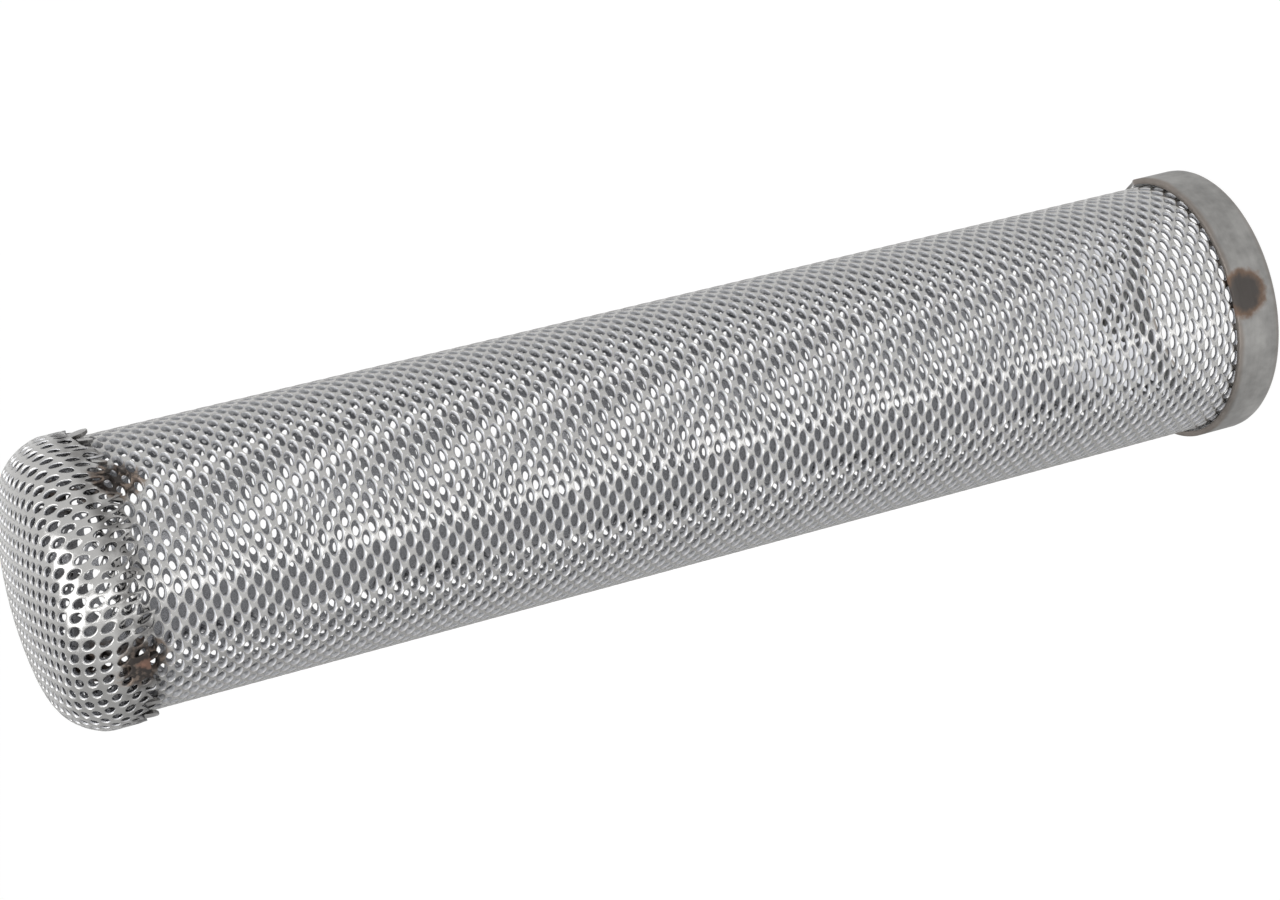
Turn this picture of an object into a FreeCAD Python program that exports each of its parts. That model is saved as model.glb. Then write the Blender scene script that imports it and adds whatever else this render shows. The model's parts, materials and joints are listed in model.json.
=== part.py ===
"""Strainer insert: a rolled tube of perforated steel sheet, closed by a drawn cap of the same
sheet and held open at its mouth by a plain pressed ring.

Millimetres. The insert stands on the end of its ring: the origin is the centre of that end
face, and +Z runs along the tube's axis up to the crown of the cap.
"""
import FreeCAD, Part
import math
import os

os.makedirs("parts", exist_ok=True)
Vector = FreeCAD.Vector
CENTRE = Vector(0, 0, 0)
UP = Vector(0, 0, 1)

# Sheet and tube
tube_diameter = 28.0
tube_length = 132.8
sheet_thickness = 0.6

# Perforation of the sheet. The real holes have a quarter of these sizes, in the same pattern
pitch_along = 7.0
rows_around = 18
hole_width = 4.2
hole_height = 7.0
hole_flank = 2.4
plain_margin = 3.4

# Lap seam of the rolled tube, on the side turned away
seam_angle = 118.75
seam_lap = 4.6

# Gap left between the tube's ends and the ring and cap that they are welded to
seat_gap = 0.05

# Ring pressed from plain sheet, with a lip turned in under the tube's end
ring_sheet = 0.6
ring_width = 5.7
ring_bend_radius = 1.2
ring_clearance = 0.3
mouth_diameter = 23.4

# Cap drawn from the perforated sheet
cap_clearance = 0.14
cap_skirt = 3.1
shoulder_radius = 5.2
crown_radius = 46.0

# Holes of the cap after drawing: open on the crown, stretched on the shoulder, cut by the rim
crown_pitch_along = 3.5
crown_pitch_across = 2.5
crown_hole_size = 2.3
crown_hole_reach = 12.0
shoulder_holes = 24
shoulder_hole_width = 1.9
shoulder_hole_length = 4.4
shoulder_hole_rise = 0.6
rim_notch_width = 1.7
rim_notch_depth = 1.5

# Two points of torn sheet that stand out of the cap's rim
spur_angles = (-15.0, 195.0)
spur_width = 1.6
spur_length = 0.9

# Places that follow from the sizes above
tube_radius = tube_diameter / 2
bore_radius = tube_radius - sheet_thickness
row_angle = 360.0 / rows_around
ring_inner_radius = tube_radius + ring_clearance
ring_outer_radius = ring_inner_radius + ring_sheet
ring_inner_bend = ring_bend_radius - ring_sheet
mouth_radius = mouth_diameter / 2
ring_corner_reach = max(0.0, ring_inner_bend - ring_clearance)
ring_seat_height = ring_bend_radius - math.sqrt(ring_inner_bend**2 - ring_corner_reach**2)
tube_foot = ring_seat_height + seat_gap
tube_top = tube_foot + tube_length
cap_inner_radius = tube_radius + cap_clearance
cap_outer_radius = cap_inner_radius + sheet_thickness
shoulder_centre_radius = cap_outer_radius - shoulder_radius
shoulder_inner_radius = shoulder_radius - sheet_thickness
cap_seat_drop = math.sqrt(shoulder_inner_radius**2 - (tube_radius - shoulder_centre_radius) ** 2)
shoulder_height = tube_top + seat_gap - cap_seat_drop
cap_rim_height = shoulder_height - cap_skirt
crown_centre_height = shoulder_height - math.sqrt(
    (crown_radius - shoulder_radius) ** 2 - shoulder_centre_radius**2
)
cut_through = 1.0


def line(start, end):
    return Part.makeLine(start, end)


def arc_about(centre, radius, from_angle, to_angle):
    """An arc in the XZ plane about centre, with angles in radians from +X towards +Z."""
    points = []
    for angle in (from_angle, (from_angle + to_angle) / 2, to_angle):
        points.append(centre + Vector(radius * math.cos(angle), 0, radius * math.sin(angle)))
    return Part.Arc(*points).toShape()


def revolved(edges):
    """The solid that a closed profile in the XZ plane makes when it is turned round the axis."""
    profile = Part.Face(Part.Wire(Part.__sortEdges__(edges)))
    return profile.revolve(CENTRE, UP, 360)


def hollow_cylinder(outer_radius, inner_radius, height, foot, angle=360.0):
    base = Vector(0, 0, foot)
    outer = Part.makeCylinder(outer_radius, height, base, UP, angle)
    inner = Part.makeCylinder(inner_radius, height, base, UP, angle)
    return outer.cut(inner)


def pointed_outline(width, height, flank):
    """Outline of a punched hole as (along, around) points: straight flanks and pointed ends."""
    side = width / 2
    shoulder = flank / 2
    tip = height / 2
    return [(side, -shoulder), (side, shoulder), (0, tip), (-side, shoulder), (-side, -shoulder), (0, -tip)]


def cornered_outline(width, height):
    """Outline of a hole on the drawn crown: a square that stands on its corner."""
    return [(width / 2, 0), (0, height / 2), (-width / 2, 0), (0, -height / 2)]


def radial_cutter(outline, height, angle, inner_radius, outer_radius):
    """A punch through the wall at a height and an angle, from (along, around) points."""
    corners = [Vector(inner_radius, around, height + along) for along, around in outline]
    face = Part.Face(Part.makePolygon(corners + corners[:1]))
    punch = face.extrude(Vector(outer_radius - inner_radius, 0, 0))
    punch.rotate(CENTRE, UP, angle)
    return punch


def axial_cutter(outline, x, y, foot, top):
    """A punch straight down through the crown at x, y, from (x, y) offsets."""
    corners = [Vector(x + dx, y + dy, foot) for dx, dy in outline]
    face = Part.Face(Part.makePolygon(corners + corners[:1]))
    return face.extrude(Vector(0, 0, top - foot))


def staggered_rows(first, last, width):
    """Heights of the holes in even and in odd rows, all clear of first and last."""
    heights = []
    for stagger in (0.0, 0.5):
        row = []
        height = first + width / 2 + stagger * pitch_along
        while height + width / 2 <= last:
            row.append(height)
            height += pitch_along
        heights.append(row)
    return heights


def perforated_tube():
    wall = hollow_cylinder(tube_radius, bore_radius, tube_length, tube_foot)
    rows = staggered_rows(tube_foot + plain_margin, tube_top - plain_margin, hole_width)
    outline = pointed_outline(hole_width, hole_height, hole_flank)
    punches = []
    for row in range(1, rows_around):
        angle = seam_angle + row * row_angle
        for height in rows[row % 2]:
            punch = radial_cutter(
                outline, height, angle, bore_radius - cut_through, tube_radius + cut_through
            )
            punches.append(punch)
    wall = wall.cut(Part.makeCompound(punches))

    # The sheet's second edge lies inside the first along the seam
    lap_angle = math.degrees(seam_lap / bore_radius)
    lap = hollow_cylinder(bore_radius, bore_radius - sheet_thickness, tube_length, tube_foot, lap_angle)
    lap.rotate(CENTRE, UP, seam_angle - lap_angle / 2)
    return wall.fuse(lap).removeSplitter()


def end_ring():
    outer = ring_outer_radius
    inner = ring_inner_radius
    bend = Vector(outer - ring_bend_radius, 0, ring_bend_radius)
    edges = [
        line(Vector(mouth_radius, 0, 0), Vector(bend.x, 0, 0)),
        arc_about(bend, ring_bend_radius, -math.pi / 2, 0),
        line(Vector(outer, 0, bend.z), Vector(outer, 0, ring_width)),
        line(Vector(outer, 0, ring_width), Vector(inner, 0, ring_width)),
        line(Vector(inner, 0, ring_width), Vector(inner, 0, bend.z)),
        arc_about(bend, ring_inner_bend, 0, -math.pi / 2),
        line(Vector(bend.x, 0, ring_sheet), Vector(mouth_radius, 0, ring_sheet)),
        line(Vector(mouth_radius, 0, ring_sheet), Vector(mouth_radius, 0, 0)),
    ]
    return revolved(edges)


def cap_skin(skin_radius, inset):
    """One side of the cap's sheet as profile edges: skirt, rounded shoulder and shallow crown."""
    shoulder = Vector(shoulder_centre_radius, 0, shoulder_height)
    crown = Vector(0, 0, crown_centre_height)
    meeting = math.atan2(shoulder.z - crown.z, shoulder.x)
    skirt = line(Vector(skin_radius, 0, cap_rim_height), Vector(skin_radius, 0, shoulder_height))
    bend = arc_about(shoulder, shoulder_radius - inset, 0, meeting)
    dome = arc_about(crown, crown_radius - inset, meeting, math.pi / 2)
    return [skirt, bend, dome]


def rim_spur(angle):
    """A pointed piece of the skirt's sheet that hangs below the rim at an angle."""
    root = spur_length / 2
    side = spur_width / 2
    foot = cap_rim_height - spur_length
    skirt = hollow_cylinder(cap_outer_radius, cap_inner_radius, 1.5 * spur_length, foot)
    outline = [(root, -side), (root, side), (0, side), (-spur_length, 0), (0, -side)]
    wedge = radial_cutter(
        outline, cap_rim_height, angle, cap_inner_radius - cut_through, cap_outer_radius + cut_through
    )
    return skirt.common(wedge)


def end_cap():
    top = crown_centre_height + crown_radius
    rim = line(
        Vector(cap_outer_radius, 0, cap_rim_height), Vector(cap_inner_radius, 0, cap_rim_height)
    )
    axis = line(Vector(0, 0, top), Vector(0, 0, top - sheet_thickness))
    skins = cap_skin(cap_outer_radius, 0.0) + cap_skin(cap_inner_radius, sheet_thickness)
    shell = revolved(skins + [rim, axis])

    punches = []
    outline = cornered_outline(crown_hole_size, crown_hole_size)
    rows = math.ceil(crown_hole_reach / crown_pitch_across)
    for row in range(-rows, rows + 1):
        for place in range(-rows, rows + 1):
            x = (place + 0.5 * (row % 2)) * crown_pitch_along
            y = row * crown_pitch_across
            if math.hypot(x, y) <= crown_hole_reach:
                punches.append(axial_cutter(outline, x, y, tube_top - cut_through, top + cut_through))

    stretched = pointed_outline(shoulder_hole_length, shoulder_hole_width, shoulder_hole_width / 3)
    notch = pointed_outline(2 * rim_notch_depth, rim_notch_width, rim_notch_width / 2)
    step = 360.0 / shoulder_holes
    for place in range(shoulder_holes):
        angle = place * step
        punches.append(
            radial_cutter(
                stretched,
                shoulder_height + shoulder_hole_rise,
                angle,
                shoulder_centre_radius,
                cap_outer_radius + cut_through,
            )
        )
        punches.append(
            radial_cutter(
                notch,
                cap_rim_height,
                angle + step / 2,
                cap_inner_radius - cut_through,
                cap_outer_radius + cut_through,
            )
        )
    shell = shell.cut(Part.makeCompound(punches))
    return shell.fuse([rim_spur(angle) for angle in spur_angles]).removeSplitter()


for name, make in (("perforated_tube", perforated_tube), ("end_cap", end_cap), ("end_ring", end_ring)):
    make().exportStep("parts/" + name + ".step")
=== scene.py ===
"""Dresses a strainer insert: a tube and a drawn cap of fine perforated sheet, and a plain end ring.

Metres. The insert stands on the end of its ring, with +Z along the tube's axis. The side that
faces -Y is the front, and angles round the axis are counted from there towards +X.
"""
import json
import math
import random
import bmesh
import bpy
from bpy.props import FloatProperty, FloatVectorProperty, IntProperty, PointerProperty
from mathutils import Matrix, Vector


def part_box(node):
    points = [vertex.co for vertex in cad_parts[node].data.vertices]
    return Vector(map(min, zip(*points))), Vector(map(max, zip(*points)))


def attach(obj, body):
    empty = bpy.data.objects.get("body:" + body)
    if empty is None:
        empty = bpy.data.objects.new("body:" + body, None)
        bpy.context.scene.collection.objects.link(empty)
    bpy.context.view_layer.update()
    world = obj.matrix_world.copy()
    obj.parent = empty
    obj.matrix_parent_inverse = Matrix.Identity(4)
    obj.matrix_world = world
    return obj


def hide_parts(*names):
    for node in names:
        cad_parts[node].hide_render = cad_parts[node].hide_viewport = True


bl_info = {
    "name": "Strainer insert",
    "version": (1, 0, 0),
    "blender": (4, 5, 0),
    "location": "3D View > Sidebar > Strainer",
    "description": "Makes the perforated tube, the drawn cap, the end ring and the stage",
    "category": "Add Mesh",
}

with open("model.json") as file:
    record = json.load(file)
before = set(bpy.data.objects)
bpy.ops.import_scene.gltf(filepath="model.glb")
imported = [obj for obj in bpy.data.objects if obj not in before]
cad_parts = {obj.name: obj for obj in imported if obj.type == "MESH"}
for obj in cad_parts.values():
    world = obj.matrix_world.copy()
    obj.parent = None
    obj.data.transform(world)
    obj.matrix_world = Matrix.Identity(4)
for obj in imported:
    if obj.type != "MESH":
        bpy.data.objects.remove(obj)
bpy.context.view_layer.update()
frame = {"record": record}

MM = 0.001
FULL_TURN = 2 * math.pi
TUBE_LOW, TUBE_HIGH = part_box("perforated_tube")
CAP_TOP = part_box("end_cap")[1][2]
RING_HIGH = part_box("end_ring")[1]
MOUNTS = {mount["name"]: mount for mount in frame["record"]["mounts"]}
CAP_RIM_HEIGHT = 129.4 * MM
CAP_RIM_RADIUS = 14.6 * MM
MOUTH_RADIUS = MOUNTS["mouth"]["dims"]["r_mm"] * MM
WELD_TOLERANCE = 0.002 * MM

# Weld marks of the cap: angle from the front, height, size, and whether the electrode left copper
CAP_WELDS = (
    (math.radians(38), 128.7 * MM, 2.5 * MM, False),
    (math.radians(-38), 130.5 * MM, 2.6 * MM, True),
    (math.radians(140), 129.6 * MM, 2.4 * MM, False),
    (math.radians(-142), 130.0 * MM, 2.7 * MM, False),
)


def length(name, description, default):
    """A size in metres that a user may change."""
    return FloatProperty(name=name, description=description, default=default, unit="LENGTH", precision=5)


def angle(name, description, degrees):
    """An angle round the axis, counted from the front, that a user may change."""
    return FloatProperty(
        name=name, description=description, default=math.radians(degrees), subtype="ANGLE"
    )


def fraction(name, description, default):
    """A share or strength that a user may change."""
    return FloatProperty(name=name, description=description, default=default)


def colour(name, description, default):
    """A colour that a user may change."""
    return FloatVectorProperty(
        name=name, description=description, default=default, subtype="COLOR", size=3, min=0, max=1
    )


class SheetSizes(bpy.types.PropertyGroup):
    """The punched sheet that the tube and the cap are made of."""

    thickness: length("Thickness", "Thickness of the sheet", 0.6 * MM)
    pitch: length("Pitch", "Distance between holes of one row, along the tube", 1.744 * MM)
    hole_width: length("Hole Width", "Width of a hole at its rounded lip, along the tube", 1.33 * MM)
    hole_height: length("Hole Height", "Height of a hole at its lip, around the tube", 2.12 * MM)
    lip: length("Lip", "Width of the rounded lip of a hole", 0.15 * MM)
    lip_drop: length("Lip Drop", "Depth of the rounded lip", 0.035 * MM)
    taper: length("Taper", "How much a hole narrows below its lip", 0.14 * MM)
    neck_drop: length("Neck Drop", "How far the necks between holes lie below the sheet", 0.02 * MM)


class TubeSizes(bpy.types.PropertyGroup):
    """The rolled tube."""

    radius: length("Radius", "Outer radius of the tube", TUBE_HIGH[0])
    rows: IntProperty(name="Rows", description="Rows of holes that fit round the tube", default=72)
    plain_rows: IntProperty(name="Plain Rows", description="Rows at the seam with no holes", default=3)
    seam: angle("Seam", "Place of the lap seam", -151.25)
    lap: length("Lap", "Width of the sheet's second edge inside the seam", 4.6 * MM)


class CapSizes(bpy.types.PropertyGroup):
    """The cap, drawn from a disc of the punched sheet."""

    radius: length("Radius", "Outer radius of the skirt", 14.74 * MM)
    shoulder_radius: length("Shoulder Radius", "Outer radius of the bend at the shoulder", 5.2 * MM)
    crown_radius: length("Crown Radius", "Outer radius of the shallow crown", 46.0 * MM)
    stretch: fraction("Stretch", "How far the sheet stretches over the shoulder", 1.17)
    sheet_turn: angle("Sheet Turn", "Turn of the hole pattern about the axis", -70.0)
    hole_width: fraction("Hole Width", "Share of their width that the drawn sheet's holes have", 0.84)
    hole_height: fraction("Hole Height", "Share of their height that the drawn holes have", 0.79)
    taper: length("Taper", "How much a drawn hole narrows below its lip", -0.05 * MM)
    closed: length("Closed", "Reach of the melted sheet round a weld, where no hole is left", 1.35 * MM)
    pinch: fraction("Pinch", "Share of their width that the holes keep near the rim", 0.82)
    pinch_reach: length("Pinch Reach", "Reach in the flat disc where pinching starts", 16.8 * MM)
    ragged: length("Ragged", "How unevenly the rim was cut", 0.7 * MM)
    wrinkle: length("Wrinkle", "Height of the wrinkles at the rim", 0.5 * MM)
    wrinkle_pitch: length("Wrinkle Pitch", "Distance between wrinkles", 1.9 * MM)
    rim_press: fraction("Rim Press", "Share of its thickness that the rim keeps", 0.5)
    flare: length("Flare", "How far the rim stands off at its two sides", 0.4 * MM)
    spur: length("Spur", "How far the longest torn points stand out of the rim", 0.65 * MM)
    torn_points: IntProperty(name="Torn Points", description="Short torn points round the rim", default=22)
    seed: IntProperty(name="Seed", description="Chooses the wrinkles and the rim's line", default=7)


class RingSizes(bpy.types.PropertyGroup):
    """The pressed end ring."""

    sheet: length("Sheet", "Thickness of the ring's sheet", 0.6 * MM)
    bend: length("Bend", "Outer radius of the bend at the end", 1.2 * MM)
    waviness: length("Waviness", "How far the rim strays from a flat circle", 0.06 * MM)
    weld_dent: length("Weld Dent", "Depth of the dent that the spot weld left", 0.12 * MM)
    weld_size: length("Weld Size", "Reach of the scorched spot of the weld", 2.8 * MM)
    rim_dip: length("Rim Dip", "How far the rim is cut down on its far side", 1.7 * MM)


class FinishSettings(bpy.types.PropertyGroup):
    """Colours and roughness of the steel and of its marks, with painted light and shade."""

    sheet_colour: colour("Sheet Colour", "Bare punched steel", (0.50, 0.495, 0.485))
    cut_colour: colour("Cut Colour", "Steel in the holes and on the inner side", (0.46, 0.465, 0.485))
    # Painted light: a pale colour on the ring's inner side, which is lit only through the holes.
    painted_inner_light_colour: colour("Inner Painted Light", "The ring's bright inner side", (0.90, 0.90, 0.89))
    ring_colour: colour("Ring Colour", "Dull steel of the ring", (0.345, 0.34, 0.33))
    tint_colour: colour("Heat Tint", "Brown tint where the steel was heated", (0.16, 0.10, 0.06))
    soot_colour: colour("Soot", "Burnt middle of a weld mark on the cap", (0.035, 0.030, 0.028))
    ring_tint_colour: colour("Ring Heat Tint", "Brown fringe of the ring's weld", (0.20, 0.11, 0.06))
    ring_soot_colour: colour("Ring Soot", "Burnt middle of the ring's weld", (0.085, 0.082, 0.08))
    copper_colour: colour("Copper", "Bare spot left by the electrode", (0.50, 0.27, 0.19))
    # Painted shade: a dark band in the colour of soot along the cap's rim, where the rim meets the tube
    # and folds.
    painted_rim_shade: fraction("Painted Rim Shade", "Strength of the dark film along the cap's rim", 0.65)
    painted_rim_shade_height: length("Painted Rim Shade Height", "Height of the middle of the dark film", 130.5 * MM)
    # Painted shade: the next two set how far the sheet's inner side and the deep part of each hole are
    # darkened, and how much more the cap's holes are darkened.
    inside_shade: fraction("Inside Shade", "Brightness of the sheet's inner side", 0.76)
    cap_hole_painted_shade: fraction("Cap Hole Painted Shade", "How much darker the cap's holes are inside", 0.05)
    # Painted highlight: a lighter colour on the cut walls of the holes, standing in for their lit
    # crescents.
    wall_painted_highlight: fraction("Wall Painted Highlight", "How much brighter the cut walls of the holes are", 0.25)
    wall_matt: fraction("Wall Matt", "How matt the cut walls of the holes are", 0.75)
    wall_grain: fraction("Wall Grain", "How much rougher the cut walls of the holes are", 0.28)
    sheet_roughness: fraction("Sheet Roughness", "Roughness of the punched sheet", 0.22)
    ring_roughness: fraction("Ring Roughness", "Roughness of the ring", 0.55)


class StageSettings(bpy.types.PropertyGroup):
    """Floor, light and camera."""

    floor_size: length("Floor Size", "Side of the square floor", 8.0)
    surround: fraction("Surround", "Brightness of the surroundings that the metal reflects", 0.92)
    top_power: fraction("Top Power", "Power of the large soft lamp overhead in watts", 1.7)
    upper_power: fraction("Upper Power", "Power in watts of the lamp that only matt steel shows", 5.5)
    ambient: fraction("Ambient", "Brightness of the surroundings that matt steel shows", 0.3)
    strip_power: fraction("Strip Power", "Power of the tall narrow lamp in front in watts", 0.3)
    band_centre: angle("Band Centre", "Side of the tube with the bright band", -10.0)
    band_width: angle("Band Width", "Half the width of the bright band", 3.0)
    band_strength: fraction("Band Strength", "Brightness that makes the band", 0.9)
    mouth_strength: fraction("Mouth Strength", "Brightness added under the tube's open end", 1.2)
    side_shade: fraction("Side Shade", "How much darker the far side towards -X is", 0.34)
    band_start: length("Band Start", "Distance from the axis where the band begins", 22.0 * MM)


class Value:
    """A number that flows through a node tree, used in formulas as a plain number is."""

    def __init__(self, graph, socket):
        self.graph = graph
        self.socket = socket

    def math(self, operation, *others):
        made = self.graph.node("ShaderNodeMath", operation=operation)
        for socket, term in zip(made.inputs, (self, *others)):
            self.graph.put(socket, term)
        return Value(self.graph, made.outputs[0])

    def __add__(self, other):
        return self.math("ADD", other)

    def __sub__(self, other):
        return self.math("SUBTRACT", other)

    def __rsub__(self, other):
        return self.math("MULTIPLY_ADD", -1.0, other)

    def __mul__(self, other):
        return self.math("MULTIPLY", other)

    def __truediv__(self, other):
        return self.math("DIVIDE", other)

    def __rtruediv__(self, other):
        return self.math("POWER", -1.0) * other

    def __mod__(self, other):
        return self.math("FLOORED_MODULO", other)

    __radd__ = __add__
    __rmul__ = __mul__

    def at_most(self, other):
        return self.math("MINIMUM", other)

    def at_least(self, other):
        return self.math("MAXIMUM", other)

    def ramp(self, low, high):
        """0 below low and 1 above high, with a smooth rise between them."""
        made = self.graph.node("ShaderNodeMapRange", interpolation_type="SMOOTHSTEP")
        for name, term in (("Value", self), ("From Min", low), ("From Max", high)):
            self.graph.put(made.inputs[name], term)
        return Value(self.graph, made.outputs["Result"])


class Graph:
    """Adds nodes to one tree and links what they are given."""

    def __init__(self, tree):
        self.tree = tree
        tree.nodes.clear()

    def put(self, socket, term):
        if isinstance(term, Value):
            self.tree.links.new(term.socket, socket)
        elif isinstance(term, bpy.types.NodeSocket):
            self.tree.links.new(term, socket)
        else:
            socket.default_value = term

    def node(self, kind, inputs=(), **settings):
        made = self.tree.nodes.new(kind)
        for name, setting in settings.items():
            setattr(made, name, setting)
        for name, term in dict(inputs).items():
            self.put(made.inputs[name], term)
        return made

    def value(self, socket):
        return Value(self, socket)

    def open(self, sockets):
        """Names the tree's inputs as (name, kind) pairs and returns them by name."""
        for name, kind in sockets:
            self.tree.interface.new_socket(name=name, in_out="INPUT", socket_type="NodeSocket" + kind)
        outputs = self.node("NodeGroupInput").outputs
        return {name: self.value(outputs[name]) for name, kind in sockets}

    def close(self, kind, **results):
        """Names the tree's outputs and links the results to them."""
        for name in results:
            socket_kind = "NodeSocket" + (kind if isinstance(kind, str) else kind[name])
            self.tree.interface.new_socket(name=name, in_out="OUTPUT", socket_type=socket_kind)
        end = self.node("NodeGroupOutput")
        for name, term in results.items():
            self.put(end.inputs[name], term)

    def split(self, vector):
        made = self.node("ShaderNodeSeparateXYZ", {"Vector": vector})
        return [self.value(socket) for socket in made.outputs]

    def join(self, x, y, z):
        return self.node("ShaderNodeCombineXYZ", {"X": x, "Y": y, "Z": z}).outputs[0]

    def place(self):
        """The x, y and z of each point, in a geometry tree."""
        return self.split(self.node("GeometryNodeInputPosition").outputs["Position"])

    def moved(self, geometry, position):
        inputs = {"Geometry": geometry, "Position": position}
        return self.node("GeometryNodeSetPosition", inputs).outputs[0]

    def merged(self, geometry):
        inputs = {"Geometry": geometry, "Distance": WELD_TOLERANCE}
        return self.node("GeometryNodeMergeByDistance", inputs).outputs[0]

    def round_axis(self, radius, turn, height):
        """The place at an angle from the front, in a geometry tree."""
        return self.join(radius * turn.math("SINE"), radius * turn.math("COSINE") * -1.0, height)

    def noise(self, vector, scale, seed=0.0, detail=2.0):
        made = self.node(
            "ShaderNodeTexNoise",
            {"Vector": vector, "W": seed, "Scale": scale, "Detail": detail},
            noise_dimensions="4D",
        )
        return self.value(made.outputs[0])

    def blend(self, share, first, second):
        """A colour that goes from first to second as share goes from 0 to 1."""
        made = self.node("ShaderNodeMix", data_type="RGBA")
        self.put(made.inputs["Factor"], share)
        self.put(made.inputs[6], first)
        self.put(made.inputs[7], second)
        return made.outputs[2]


def opaque(rgb):
    return (*rgb, 1.0)


def row_spacing(tube):
    return FULL_TURN * tube.radius / tube.rows


# Hole cells: one rhombus of flat sheet, with or without its hole

OUTLINE_POINTS = 12
POINTS_PER_SIDE = OUTLINE_POINTS // 4


def rhombus_outline(half_width, half_height):
    """Points evenly along the four sides of a rhombus, counter-clockwise from +X."""
    corners = [(half_width, 0), (0, half_height), (-half_width, 0), (0, -half_height)]
    points = []
    for side in range(4):
        start, end = corners[side], corners[(side + 1) % 4]
        for step in range(POINTS_PER_SIDE):
            share = step / POINTS_PER_SIDE
            points.append(tuple(a + (b - a) * share for a, b in zip(start, end)))
    return points


def oval_outline(half_width, half_height, border_width, border_height):
    """An oval that gives way where it would reach the border of its rhombus."""
    points = []
    for step in range(OUTLINE_POINTS):
        turn = FULL_TURN * step / OUTLINE_POINTS
        x, y = half_width * math.cos(turn), half_height * math.sin(turn)
        reach = abs(x) / border_width + abs(y) / border_height
        keep = min(1.0, 0.95 / reach)
        points.append((x * keep, y * keep))
    return points


def cell_object(name, vertices, faces):
    mesh = bpy.data.meshes.new(name)
    mesh.from_pydata(vertices, [], faces)
    return bpy.data.objects.new(name, mesh)


def top_border(sheet, spacing):
    """A cell's outline on top of the sheet, a little lower at the necks between the holes."""
    points = []
    for step, (x, y) in enumerate(rhombus_outline(sheet.pitch / 2, spacing)):
        on_neck = step % POINTS_PER_SIDE > 0
        points.append((x, y, -sheet.neck_drop * on_neck))
    return points


def underside(sheet, points):
    return [(x, y, height - sheet.thickness) for x, y, height in points]


def hole_cell(name, sheet, spacing, taper, scale=(1.0, 1.0)):
    """A cell of sheet round one hole: the web, the rounded lip, the wall and the underside."""
    half_width, half_height = scale[0] * sheet.hole_width / 2, scale[1] * sheet.hole_height / 2
    levels = [top_border(sheet, spacing)]
    profile = ((0.0, 0.0), (sheet.lip, -sheet.lip_drop), (sheet.lip + taper, -sheet.thickness))
    for inset, height in profile:
        across = half_width - inset * scale[0]
        along = half_height - inset * scale[1]
        outline = oval_outline(across, along, sheet.pitch / 2, spacing)
        levels.append([(x, y, height) for x, y in outline])
    levels.append(underside(sheet, levels[0]))
    vertices = [point for level in levels for point in level]
    faces = []
    for level in range(len(levels) - 1):
        for step in range(OUTLINE_POINTS):
            after = (step + 1) % OUTLINE_POINTS
            outer, inner = level * OUTLINE_POINTS, (level + 1) * OUTLINE_POINTS
            faces.append((outer + step, outer + after, inner + after, inner + step))
    return cell_object(name, vertices, faces)


def plain_cell(sheet, spacing):
    """The same cell with no hole."""
    border = top_border(sheet, spacing)
    vertices = border + underside(sheet, border)
    top = tuple(range(OUTLINE_POINTS))
    bottom = tuple(reversed(range(OUTLINE_POINTS, 2 * OUTLINE_POINTS)))
    return cell_object("plain_cell", vertices, [top, bottom])


# Geometry trees that repeat the cells and give the sheet its shape

SHEET_INPUTS = [
    ("Cell", "Object"),
    ("Material", "Material"),
    ("Pitch", "Float"),
    ("Row Spacing", "Float"),
    ("Rows", "Int"),
    ("Holes", "Int"),
    ("First Row", "Int"),
    ("Thickness", "Float"),
]


def lattice(g, into):
    """Points of a staggered pattern: x along the rows from 0, y from the first row's number up."""
    grid = g.node(
        "GeometryNodeMeshGrid",
        {
            "Size X": (into["Holes"] - 1.0) * into["Pitch"],
            "Size Y": (into["Rows"] - 1.0) * into["Row Spacing"],
            "Vertices X": into["Holes"],
            "Vertices Y": into["Rows"],
        },
    )
    x, y, _ = g.place()
    row = (y / into["Row Spacing"] + (into["Rows"] - 1.0) / 2.0).math("ROUND") + into["First Row"]
    along = x + (into["Holes"] - 1.0) * into["Pitch"] / 2.0
    staggered = along + (row % 2.0) * into["Pitch"] / 2.0
    return g.moved(grid.outputs["Mesh"], g.join(staggered, row * into["Row Spacing"], 0.0))


def joined_cells(g, into, points, kinds):
    """Cells on the points, joined into one flat sheet whose edges are closed.

    Kinds pairs the name of a cell with the choice of the points that have it.
    """
    everything = g.node("GeometryNodeJoinGeometry")
    for name, choice in kinds:
        cell = g.node("GeometryNodeObjectInfo", {"Object": into[name]}).outputs["Geometry"]
        batch = {"Points": points, "Selection": choice, "Instance": cell}
        placed = g.node("GeometryNodeInstanceOnPoints", batch).outputs[0]
        g.put(everything.inputs[0], placed)
    cells = g.node("GeometryNodeRealizeInstances", {"Geometry": everything.outputs[0]}).outputs[0]
    sheet = g.merged(cells)
    neighbours = g.value(g.node("GeometryNodeInputMeshEdgeNeighbors").outputs[0])
    _, _, height = g.place()
    on_top = height.math("GREATER_THAN", into["Thickness"] * -0.5)
    border = neighbours.math("LESS_THAN", 1.5) * on_top
    walled = g.node(
        "GeometryNodeExtrudeMesh",
        {
            "Mesh": sheet,
            "Selection": border,
            "Offset": g.join(0.0, 0.0, -1.0),
            "Offset Scale": into["Thickness"],
        },
        mode="EDGES",
    ).outputs["Mesh"]
    closed = g.merged(walled)

    corner = g.value(g.node("GeometryNodeInputMeshEdgeAngle").outputs["Unsigned Angle"])
    smooth = g.node("GeometryNodeSetShadeSmooth", {0: closed, "Shade Smooth": True}, domain="FACE")
    return g.node(
        "GeometryNodeSetShadeSmooth",
        {
            0: smooth.outputs[0],
            "Selection": corner.math("GREATER_THAN", math.radians(85)),
            "Shade Smooth": False,
        },
        domain="EDGE",
    ).outputs[0]


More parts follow.
